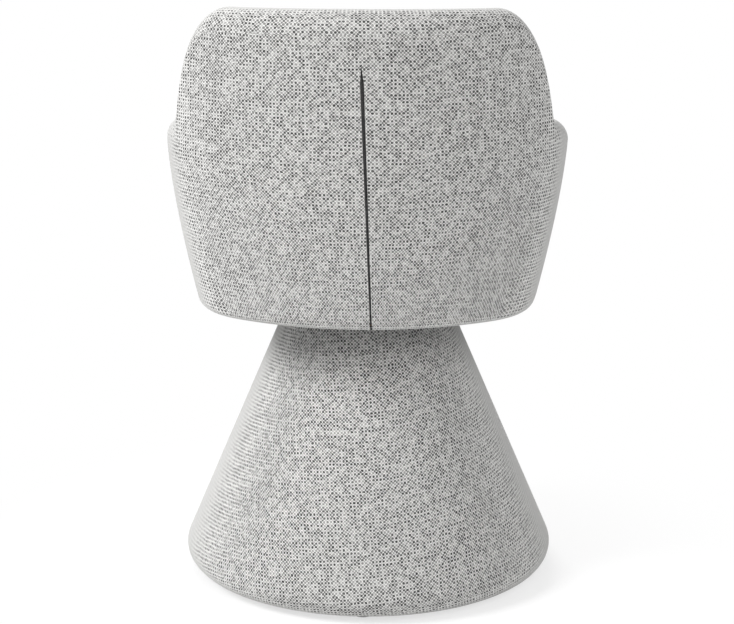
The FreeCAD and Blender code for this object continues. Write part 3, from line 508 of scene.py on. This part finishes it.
def plywood(name):
    """Long grain on the faces, plies on the edges."""
    g = material_graph(name)
    place = g.parts(g.where())
    normal = g.parts(g.add("ShaderNodeNewGeometry").outputs["Normal"])
    grain = g.noise(g.join(g.times(place[0], 6.0), g.times(place[1], 90.0), place[2]), 3.0, 5.0, 0.6)
    face = g.mix(g.smooth(grain, 0.35, 0.65), (0.52, 0.36, 0.20, 1), (0.68, 0.52, 0.33, 1))
    ply = g.maths("FRACT", g.maths("DIVIDE", place[2], 0.0028))
    edge = g.mix(g.smooth(ply, 0.45, 0.55), (0.60, 0.44, 0.27, 1), (0.34, 0.22, 0.12, 1))
    level = g.smooth(g.maths("ABSOLUTE", normal[2]), 0.6, 0.8)
    return g.finish(g.mix(level, edge, face), 0.7, grain, 0.15, 0.0004)


def felt(name, value):
    g = material_graph(name)
    where = g.where()
    hair = g.noise(where, 900.0, 4.0, 0.7)
    share = g.plus(g.times(hair, 0.7), g.times(g.noise(where, 40.0, 2.0), 0.3))
    colour = g.mix(g.smooth(share, 0.35, 0.65), grey(value * 0.6), grey(value * 1.5))
    return g.finish(colour, 0.95, hair, 0.4, 0.0005, Sheen_Weight=0.2)


def elastic(name):
    g = material_graph(name)
    place = g.parts(g.where())
    height = g.times(g.wave(place[0], 0.0024), g.wave(place[1], 0.0024))
    # Painted shade: the webbing is darker in the dips of its weave and lighter on its raised threads
    colour = g.mix(g.ramp(height, -1.0, 1.0), grey(0.012), grey(0.05))
    return g.finish(colour, 0.8, height, 0.5, 0.0004)


TWEED = tweed("tweed")
TAPE = zip_tape_material("zip_tape")
COIL = plain_finish("zip_coil", grey(0.07), grey(0.13), 0.45, 600.0, bump=0.05)


# Shell: stations round the outline, closer together at the slit
def run_lengths(points):
    """Length along a line of points, from its start to each of them."""
    lengths = [0.0]
    for one, two in zip(points[:-1], points[1:]):
        lengths.append(lengths[-1] + math.dist(one, two))
    return lengths


def stations():
    found = []
    arcs = half_outline(REFERENCE_LEVEL)
    for arc, (_, radius, start, stop) in enumerate(arcs):
        steps = max(LEAST_STEPS, round(abs(stop - start) * radius / STATION_STEP))
        found += [(arc, k / steps) for k in range(steps)]
    found.append((len(arcs) - 1, 1.0))
    back_length = BACK_CURVE * abs(arcs[0][3] - arcs[0][2])
    found[1:1] = [(0, width / back_length) for width in BESIDE_SLIT]
    return found


STATIONS = stations()
SPRINGS = [crest(station) - MIDDLE for station in STATIONS]
ALONG = run_lengths([on_wall(station, REFERENCE_LEVEL, 0) for station in STATIONS])
ALONG_CREST = run_lengths([on_wall(station, spring, MIDDLE) for station, spring in zip(STATIONS, SPRINGS)])


def slit_x(level):
    return -ZIP_FOOT_SHIFT + (level - SHELL_LOW) * math.tan(math.radians(ZIP_LEAN))


def slit_half(level):
    """Half the slit's width: widest above the middle, closed at the top."""
    share = (level - SHELL_LOW) / (SLIT_TOP - SHELL_LOW)
    if share >= 1:
        return 0.0
    share = max(share, 0.0)
    return SLIT_HALF_WIDTH * min(SLIT_FOOT_SHARE + SLIT_WIDENING * share, 1.0, (1 - share) * SLIT_CLOSING)


def towards_slit(point, side, level, depth):
    """Moves a point of the back sideways, so that its columns follow the slit."""
    x, y, _ = point
    if y < 0 or abs(x) > SLIT_REACH:
        return point, 0.0
    weight = (1 - abs(x) / SLIT_REACH) ** 2
    shift = (slit_x(min(level, BACK_TOP)) + side * slit_half(level)) * weight
    return on_back(x + shift, level, depth), shift


def seam_level(spring):
    """Height of the seam on the inside, where the two covers meet."""
    return RING_HIGH + (spring - RING_HIGH) * SEAM_SHARE


def outer_profile(spring):
    """(level, depth) from under the foot, up the outside and over the top to the seam."""
    low = SHELL_LOW - FOOT_DROP
    points = [(SHELL_LOW - 0.5, LIP_DEPTH + LIP_OVERLAP), (low + 0.5, FLAT_FOOT_DEPTH)]
    for k in range(FOOT_ROWS + 1):
        t = math.radians(90.0 * k / FOOT_ROWS)
        points.append((low + FOOT_ROUND * (1 - math.cos(t)), FOOT_ROUND * (1 - math.sin(t))))
    foot = low + FOOT_ROUND
    points += [(foot + (spring - foot) * k / WALL_ROWS, 0.0) for k in range(1, WALL_ROWS)]
    for k in range(ROLL_ROWS + 1):
        t = math.radians(180.0 - 180.0 * k / ROLL_ROWS)
        points.append((spring + MIDDLE * math.sin(t), MIDDLE + MIDDLE * math.cos(t)))
    seam = seam_level(spring)
    points += [(spring + (seam - spring) * k / FACE_ROWS, THICK) for k in range(1, FACE_ROWS)]
    return points + [(seam + rise, THICK - under) for rise, under in SEAM_FROM_ABOVE]


def inner_profile(spring):
    """(level, depth) from the seam on the inside down behind the cushion."""
    seam = seam_level(spring)
    points = [(seam + rise, THICK - under) for rise, under in SEAM_FROM_BELOW]
    start, bottom = points[-1][0], CUSHION_LOW + 0.1
    points += [(start + (bottom - start) * k / INSIDE_ROWS, THICK) for k in range(1, INSIDE_ROWS + 1)]
    return points + [(bottom, THICK + width) for width in FOLD_UNDER_CUSHION]


def wall_side(profile_of, outer, side):
    """Rows of points from the slit round to the front, and two sets of weave coordinates.

    On the walls the weave hangs level (first set). Over the roll it follows the crest (second)."""
    rows, uvs, over = [], [], []
    for station, spring, along, crest_run in zip(STATIONS, SPRINGS, ALONG, ALONG_CREST):
        profile = profile_of(spring)
        row, uv, roll = [], [], []
        for k, ((level, depth), length) in enumerate(zip(profile, run_lengths(profile))):
            x, y, z = on_wall(station, level, depth)
            point, shift = (x * side, y, z), 0.0
            if outer:
                point, shift = towards_slit(point, side, level, depth)
            if station == STATIONS[-1]:
                point = (0.0, *point[1:])
            row.append(point)
            uv.append((along * side + shift, length if outer and k <= ROLL_FROM else WEAVE_ABOVE - level))
            roll.append((crest_run * side, length - spring))
        rows.append(row)
        uvs.append(uv)
        over.append(roll)
    return rows, uvs, over


def shell_piece(name, profile_of, outer):
    """Both sides of a cover, joined at the middle."""
    mesh = bmesh.new()
    for side in (1, -1):
        rows, uvs, over = wall_side(profile_of, outer, side)
        if side > 0:
            rows, uvs, over = rows[::-1], uvs[::-1], over[::-1]
        add_grid(mesh, rows, uvs, (ROLL_FROM, ROLL_TO, over) if outer else None)
    bmesh.ops.remove_doubles(mesh, verts=mesh.verts, dist=WELD * MM)
    return add_object(name, mesh_data(name, mesh), TWEED)


def slit_lip(name, side):
    """Edge of the cover folded in at the slit, on one side of it."""
    rows, uvs = [], []
    foot = SHELL_LOW - FOOT_DROP + FOOT_ROUND
    for turn_in, depth in LIP_FOLD:
        row, uv = [], []
        for k in range(LIP_ROWS + 1):
            level = foot + (SLIT_TOP - foot) * k / LIP_ROWS
            half = slit_half(level)
            full = min(1.0, half / SLIT_HALF_WIDTH * LIP_OPENING, (SLIT_TOP - level) / LIP_FADE)
            x = slit_x(level) + side * (half + turn_in * full)
            row.append(on_back(x, level, depth * full))
            uv.append((slit_x(level) - side * depth, level - SHELL_LOW + LIP_WEAVE_START))
        rows.append(row)
        uvs.append(uv)
    return grid_piece(name, rows, uvs, TWEED)


cover_outer = shell_piece("cover_outer_fabric", outer_profile, True)
cover_inner = shell_piece("cover_inner_fabric", inner_profile, False)
lips = [slit_lip("slit_lip_left", 1), slit_lip("slit_lip_right", -1)]
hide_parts("cover_outer", "outer_padding", "shell_foam")
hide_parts("cover_inner")
for piece in (cover_outer, cover_inner, *lips):
    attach(piece, "seat")


# Pedestal cover: turned under the foot, up the side and over the top
def base_profile():
    """(radius, level) of the cover from its inner edge under the foot to the top."""
    edge_at, edge_level = BASE_RADIUS - BASE_EDGE, COVER_LOW + BASE_EDGE
    run, height = edge_at - BASE_HEAD, BOARD_TOP - edge_level
    lean = math.atan2(run, height) + math.asin(BASE_EDGE / math.hypot(run, height))
    points = [(BASE_LIP, COVER_LOW), (BASE_LIP + BASE_LIP_WIDTH, COVER_LOW)]
    for k in range(EDGE_ROWS + 1):
        t = -math.pi / 2 + (lean + math.pi / 2) * k / EDGE_ROWS
        points.append((edge_at + BASE_EDGE * math.cos(t), edge_level + BASE_EDGE * math.sin(t)))
    foot_at, foot_level = points[-1]
    head_level = BASE_TOP - BASE_SHOULDER * (1 - math.sin(lean))
    head_at = foot_at - (head_level - foot_level) * math.tan(lean)
    run, height = head_at - foot_at, head_level - foot_level
    for k in range(1, CONE_ROWS + 1):
        points.append((foot_at + run * k / CONE_ROWS, foot_level + height * k / CONE_ROWS))
    turn_at, turn_level = head_at - BASE_SHOULDER * math.cos(lean), BASE_TOP - BASE_SHOULDER
    for k in range(1, SHOULDER_ROWS + 1):
        t = lean + (math.pi / 2 - lean) * k / SHOULDER_ROWS
        points.append((turn_at + BASE_SHOULDER * math.cos(t), turn_level + BASE_SHOULDER * math.sin(t)))
    return points + [(turn_at - TOP_STEP, BASE_TOP), (TOP_LIP, BASE_TOP)]


def half_turns():
    """Angles from the middle of the back to the front, closer together at the front seam."""
    even = {math.pi * (k / BASE_STATIONS) for k in range(BASE_STATIONS)}
    close = {math.pi - width / SEAM_RADIUS for width in BESIDE_SEAM}
    return sorted(even | close) + [math.pi]


def base_cover_piece(name):
    """Cover of the pedestal, with its sewn seam as a groove down the front."""
    profile = base_profile()
    lengths = run_lengths(profile)
    angles = half_turns()
    tilt = math.radians(BASE_TILT)
    rows, uvs = [], []
    for side in (1, -1):
        for angle in (angles[::-1] if side > 0 else angles[1:]):
            row, uv = [], []
            for (radius, level), length in zip(profile, lengths):
                off_seam = (math.pi - angle) * radius
                sunk = radius - FRONT_SEAM_DEPTH * math.exp(-(off_seam / FRONT_SEAM_WIDTH) ** 2)
                row.append((sunk * math.sin(angle) * side, sunk * math.cos(angle), level))
                # The weave starts at the middle of the back, angle 0, and meets at the front
                across = angle * side * radius
                uv.append((across * math.cos(tilt) + length * math.sin(tilt),
                           length * math.cos(tilt) - across * math.sin(tilt)))
            rows.append(row)
            uvs.append(uv)
    return grid_piece(name, rows, uvs, TWEED)


base_cover = base_cover_piece("base_cover_fabric")
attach(base_cover, "base")
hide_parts("base_cover", "base_foam")


# Seat cushion: swollen by simulation, then its seam and piping
def inside_depth(spring, level):
    """Depth of the shell's inner face, which slopes forward over the low front roll."""
    rise = limited((level - spring) / MIDDLE, 0.0, 1.0)
    return max(MIDDLE + MIDDLE * math.sqrt(1 - rise ** 2), FRONT_REACH)


def outline(level, depth, share=1.0):
    """Ring round the cushion at a level, depth counted from the shell's outside."""
    inward = depth - THICK
    near = [on_wall(station, level, inside_depth(spring, level) + inward)
            for station, spring in zip(STATIONS[::2] + [STATIONS[-1]], SPRINGS[::2] + [SPRINGS[-1]])]
    ring = near + [(-x, y, z) for x, y, z in near[-2:0:-1]]
    return [(x * share, -SIDE_SHIFT + (y + SIDE_SHIFT) * share, z) for x, y, z in ring]


def closed_form(name, rings):
    """Closed mesh through rings of points, with one face at each end."""
    mesh = bmesh.new()
    grid = [[mesh.verts.new(Vector(point) * MM) for point in ring] for ring in rings]
    for low, high in zip(grid[:-1], grid[1:]):
        for k in range(len(low)):
            j = (k + 1) % len(low)
            mesh.faces.new((low[k], low[j], high[j], high[k]))
    mesh.faces.new(grid[0][::-1])
    mesh.faces.new(grid[-1])
    bmesh.ops.recalc_face_normals(mesh, faces=mesh.faces)
    return add_object(name, mesh_data(name, mesh))


def inflate(piece):
    """Pressure swells the piece; no point moves further than the cushion's swell."""
    remesh = piece.modifiers.new("even", "REMESH")
    remesh.mode = "VOXEL"
    remesh.voxel_size = VOXEL * MM
    data = settled(piece)
    start = [vertex.co.copy() for vertex in data.vertices]
    cloth = piece.modifiers.new("swell", "CLOTH")
    cloth.settings.quality = 5
    cloth.settings.use_pressure = True
    cloth.settings.uniform_pressure_force = 4.0
    cloth.settings.effector_weights.gravity = 0.0
    cloth.point_cache.frame_start, cloth.point_cache.frame_end = 1, SWELL_FRAMES
    for number in range(1, SWELL_FRAMES + 1):
        bpy.context.scene.frame_set(number)
    data = settled(piece)
    cap = CUSHION_SWELL * MM
    for vertex, before in zip(data.vertices, start):
        move = vertex.co - before
        if move.length > cap:
            vertex.co = before + move * (cap / move.length)
    bpy.context.scene.frame_set(1)
    smooth = piece.modifiers.new("even", "SMOOTH")
    smooth.factor, smooth.iterations = 0.5, 4
    piece.modifiers.new("fine", "SUBSURF").levels = 1
    return settled(piece)


def inner_wall():
    """For every few levels, (bearing, distance) of the wall round the cushion, in metres."""
    rings = {}
    for level in range(WALL_LOW, WALL_HIGH + 1, WALL_STEP):
        places = [(x * MM, (y + SIDE_SHIFT) * MM) for x, y, _ in outline(level, THICK + CUSHION_CLEAR)]
        rings[level] = sorted((math.atan2(y, x), math.hypot(x, y)) for x, y in places)
    return rings


def keep_inside(data):
    """The cushion lies flat on the webbing and stays clear of the inside cover."""
    rings = inner_wall()
    for vertex in data.vertices:
        vertex.co.z = limited(vertex.co.z, CUSHION_FLOOR * MM, CUSHION_CEILING * MM)
        x, y = vertex.co.x, vertex.co.y + SIDE_SHIFT * MM
        ring = rings[min(int(vertex.co.z / MM) // WALL_STEP * WALL_STEP, WALL_HIGH)]
        after = bisect.bisect(ring, (math.atan2(y, x), 0.0)) % len(ring)
        limit = min(ring[after - 1][1], ring[after][1])
        if math.hypot(x, y) > limit:
            scale = limit / math.hypot(x, y)
            vertex.co.x, vertex.co.y = x * scale, y * scale - SIDE_SHIFT * MM


def weave_layer(data):
    """Weave coordinates: from above on the faces that look up, round the rest."""
    layer = data.uv_layers.new(name="weave")
    for face in data.polygons:
        face.use_smooth = True
        for index in face.loop_indices:
            x, y, z = data.vertices[data.loops[index].vertex_index].co
            if abs(face.normal.z) > 0.5:
                layer.data[index].uv = (x, y)
            elif abs(face.normal.x) > abs(face.normal.y):
                layer.data[index].uv = (y, z)
            else:
                layer.data[index].uv = (x, z)


def seam_path(data):
    """Points in metres along the cushion's upper seam, sunk a little into its side."""
    tree = BVHTree.FromPolygons([vertex.co.copy() for vertex in data.vertices],
                                [list(face.vertices) for face in data.polygons])
    level = CUSHION_EDGE - PIPING_DROP
    centre = Vector((0.0, -SIDE_SHIFT, level)) * MM
    path = []
    for place in outline(level, CUSHION_SIDE + PIPING_INWARD):
        way = (Vector(place) * MM - centre).normalized()
        path.append(tree.ray_cast(centre, way)[0] - way * (PIPING_SUNK * MM))
    return path


def piping_piece(name, path):
    """Round cord sewn along a closed path of points in metres."""
    curve = bpy.data.curves.new(name, "CURVE")
    curve.dimensions = "3D"
    curve.bevel_depth = PIPING_RADIUS * MM
    curve.bevel_resolution = 2
    line = curve.splines.new("POLY")
    line.points.add(len(path) - 1)
    for point, place in zip(line.points, path):
        point.co = (*place, 1.0)
    line.use_cyclic_u = True
    cord = add_object(name, curve)
    view = bpy.context.evaluated_depsgraph_get()
    view.update()
    data = bpy.data.meshes.new_from_object(cord.evaluated_get(view))
    bpy.data.objects.remove(cord)
    piece = add_object(name, data, TWEED)
    weave_layer(data)
    return piece


cushion = closed_form("seat_cushion", [
    outline(level, CUSHION_SIDE + inward, share) for level, inward, share in CUSHION_RINGS])
cushion_data = inflate(cushion)
keep_inside(cushion_data)
weave_layer(cushion_data)
cushion_data.materials.clear()
cushion_data.materials.append(TWEED)
piping = piping_piece("cushion_piping", seam_path(cushion_data))
for piece in (cushion, piping):
    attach(piece, "seat")
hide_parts("seat_foam", "seat_cover")


# Zip: woven tape and two rows of coil; the slider keeps its own shape
def slit_place(level, across, depth):
    """Point of the back at a depth, beside the slit's middle line."""
    return on_back(slit_x(level) + across, level, depth)


def zip_tape_piece(name):
    rows, uvs = [], []
    top = SLIT_TOP + TAPE_OVERLAP
    levels = [ZIP_FOOT + (top - ZIP_FOOT) * k / TAPE_ROWS for k in range(TAPE_ROWS + 1)]
    for k in range(TAPE_COLUMNS + 1):
        across = -TAPE_HALF_WIDTH + 2 * TAPE_HALF_WIDTH * k / TAPE_COLUMNS
        rows.append([slit_place(level, across, TAPE_DEPTH) for level in levels])
        uvs.append([(across, level) for level in levels])
    piece = grid_piece(name, rows, uvs, TAPE)
    solid = piece.modifiers.new("thick", "SOLIDIFY")
    solid.thickness, solid.offset = TAPE_THICKNESS * MM, 0.0
    settled(piece)
    return piece


def loop_across(k):
    """Distance of a loop's point from the slit's middle, which the tooth reaches past."""
    if k in (0, LOOP_STEPS):
        return LOOP_END
    if k == LOOP_STEPS // 2:
        return -TOOTH
    return LOOP_NEAR + LOOP_WIDTH * abs(math.cos(math.pi * k / LOOP_STEPS))


def add_filament(mesh, path):
    """Four-sided tube along a path of points in metres."""
    rings = []
    for place, nearby in zip(path, path[1:] + [path[-1] * 2 - path[-2]]):
        along = (nearby - place).normalized()
        one = along.orthogonal().normalized()
        two = along.cross(one)
        ways = [one * math.cos(turn) + two * math.sin(turn)
                for turn in (0, math.pi / 2, math.pi, 3 * math.pi / 2)]
        rings.append([mesh.verts.new(place + way * (FILAMENT_RADIUS * MM)) for way in ways])
    for low, high in zip(rings[:-1], rings[1:]):
        for k in range(4):
            j = (k + 1) % 4
            face = mesh.faces.new((low[k], low[j], high[j], high[k]))
            face.smooth = True


def coil_row(name, side, offset):
    """One row of coil: a bent loop of filament for each turn."""
    mesh = bmesh.new()
    for turn in range(int((ZIP_TOP - ZIP_FOOT - 2 * COIL_CLEAR) / COIL_PITCH)):
        middle = ZIP_FOOT + COIL_CLEAR + COIL_PITCH * (turn + offset)
        path = []
        for k in range(LOOP_STEPS + 1):
            t = math.pi * k / LOOP_STEPS
            depth = TAPE_DEPTH - LOOP_LIFT - LOOP_HEIGHT * math.sin(t)
            level = middle + LOOP_SPREAD * math.cos(t)
            path.append(Vector(slit_place(level, side * loop_across(k), depth)) * MM)
        add_filament(mesh, path)
    return add_object(name, mesh_data(name, mesh), COIL)


tape = zip_tape_piece("zip_tape_woven")
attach(tape, "seat")
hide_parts("zip_tape")
coils = [coil_row("zip_coil_left", 1, 0.5), coil_row("zip_coil_right", -1, 0.0)]
for piece in coils:
    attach(piece, "seat")
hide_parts("zip_coil")

# Finishes of the pieces that keep their own shape
DRESS = (
    (plywood("board"), ("bottom_board", "rib_long", "rib_cross", "cone_wall", "top_board",
                        "mount_board", "seat_ring", "shell_core")),
    (felt("black_felt", 0.02), ("base_dust_cover", "seat_dust_cover")),
    (plain_finish("zinc_steel", grey(0.50), grey(0.66), 0.35, 220.0, metallic=1.0, bump=0.08),
     ("lower_swivel_plate", "upper_swivel_plate", "king_pin", "pin_nut", "lower_plate_bolts",
      "upper_plate_bolts")),
    (plain_finish("raw_steel", grey(0.012), grey(0.03), 0.5, 120.0, bump=0.2), ("ballast_plate",)),
    (plain_finish("nylon", grey(0.014), grey(0.024), 0.5, 300.0, bump=0.1), ("glides", "pin_bush")),
    (plain_finish("acetal", grey(0.72), grey(0.82), 0.4, 160.0, bump=0.05), ("slide_ring",)),
    (elastic("webbing"), ("webbing_straps",)),
    (plain_finish("zip_metal", grey(0.02), grey(0.05), 0.35, 500.0, metallic=0.8, bump=0.1),
     ("zip_slider",)),
)
for finish, nodes in DRESS:
    for node in nodes:
        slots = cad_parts[node].data.materials
        slots.clear()
        slots.append(finish)


# Camera and studio: pale floor, soft lamps, white background
def place_camera(name):
    data = bpy.data.cameras.new(name)
    data.lens, data.sensor_width, data.shift_x = CAMERA_LENS, CAMERA_SENSOR, CAMERA_SHIFT
    data.clip_end = 100.0
    camera = add_object(name, data)
    swing, pitch = math.radians(CAMERA_SWING), math.radians(CAMERA_PITCH)
    away = Vector((-math.sin(swing), math.cos(swing), 0.0))
    camera.location = away * CAMERA_DISTANCE + Vector((0.0, 0.0, CAMERA_HEIGHT))
    look = away * -math.cos(pitch) - Vector((0.0, 0.0, math.sin(pitch)))
    camera.rotation_euler = look.to_track_quat("-Z", "Y").to_euler()
    bpy.context.scene.camera = camera


def lamp(name, place, aim_height, size, power):
    data = bpy.data.lights.new(name, "AREA")
    data.shape = "RECTANGLE"
    data.size, data.size_y = size
    data.energy = power
    item = add_object(name, data)
    item.location = place
    look = Vector((0, 0, aim_height)) - Vector(place)
    item.rotation_euler = look.to_track_quat("-Z", "Y").to_euler()


def pale(name):
    """Light grey to the lamps; to the camera and in reflections white, with the shadow kept."""
    g = material_graph(name)
    path = g.add("ShaderNodeLightPath")
    seen = g.maths("MAXIMUM", path.outputs["Is Camera Ray"], path.outputs["Is Glossy Ray"])
    seen = g.maths("MAXIMUM", seen, path.outputs["Is Transmission Ray"])
    place = g.parts(g.where())
    away = g.maths("SQRT", g.plus(g.maths("POWER", place[0], 2.0), g.maths("POWER", place[1], 2.0)))
    share = g.times(seen, g.smooth(away, 0.25, 0.6, 0.68, 1.0))
    matt = g.add("ShaderNodeBsdfDiffuse", {"Color": g.mix(seen, grey(0.8), grey(0.95))})
    white = g.add("ShaderNodeEmission", {"Color": WHITE, "Strength": 1.0})
    return g.surface(g.add("ShaderNodeMixShader", {0: share, 1: matt.outputs[0], 2: white.outputs[0]}))


def studio_world(name):
    """White to the camera and in reflections, a weaker light to all else."""
    g = Graph(bpy.data.worlds.new(name), "ShaderNodeOutputWorld")
    path = g.add("ShaderNodeLightPath")
    seen = g.maths("MAXIMUM", path.outputs["Is Camera Ray"], path.outputs["Is Glossy Ray"])
    strength = g.ramp(seen, 0.0, 1.0, WORLD_LIGHT, 1.0)
    return g.surface(g.add("ShaderNodeBackground", {"Color": WHITE, "Strength": strength}))


def floor_piece(name):
    mesh = bmesh.new()
    bmesh.ops.create_grid(mesh, x_segments=1, y_segments=1, size=FLOOR_HALF)
    return add_object(name, mesh_data(name, mesh), pale(name))


place_camera("camera")
for settings in LAMPS:
    lamp(*settings)
bpy.context.scene.world = studio_world("studio")
floor = floor_piece("floor")

bpy.context.scene.view_settings.view_transform = "Standard"
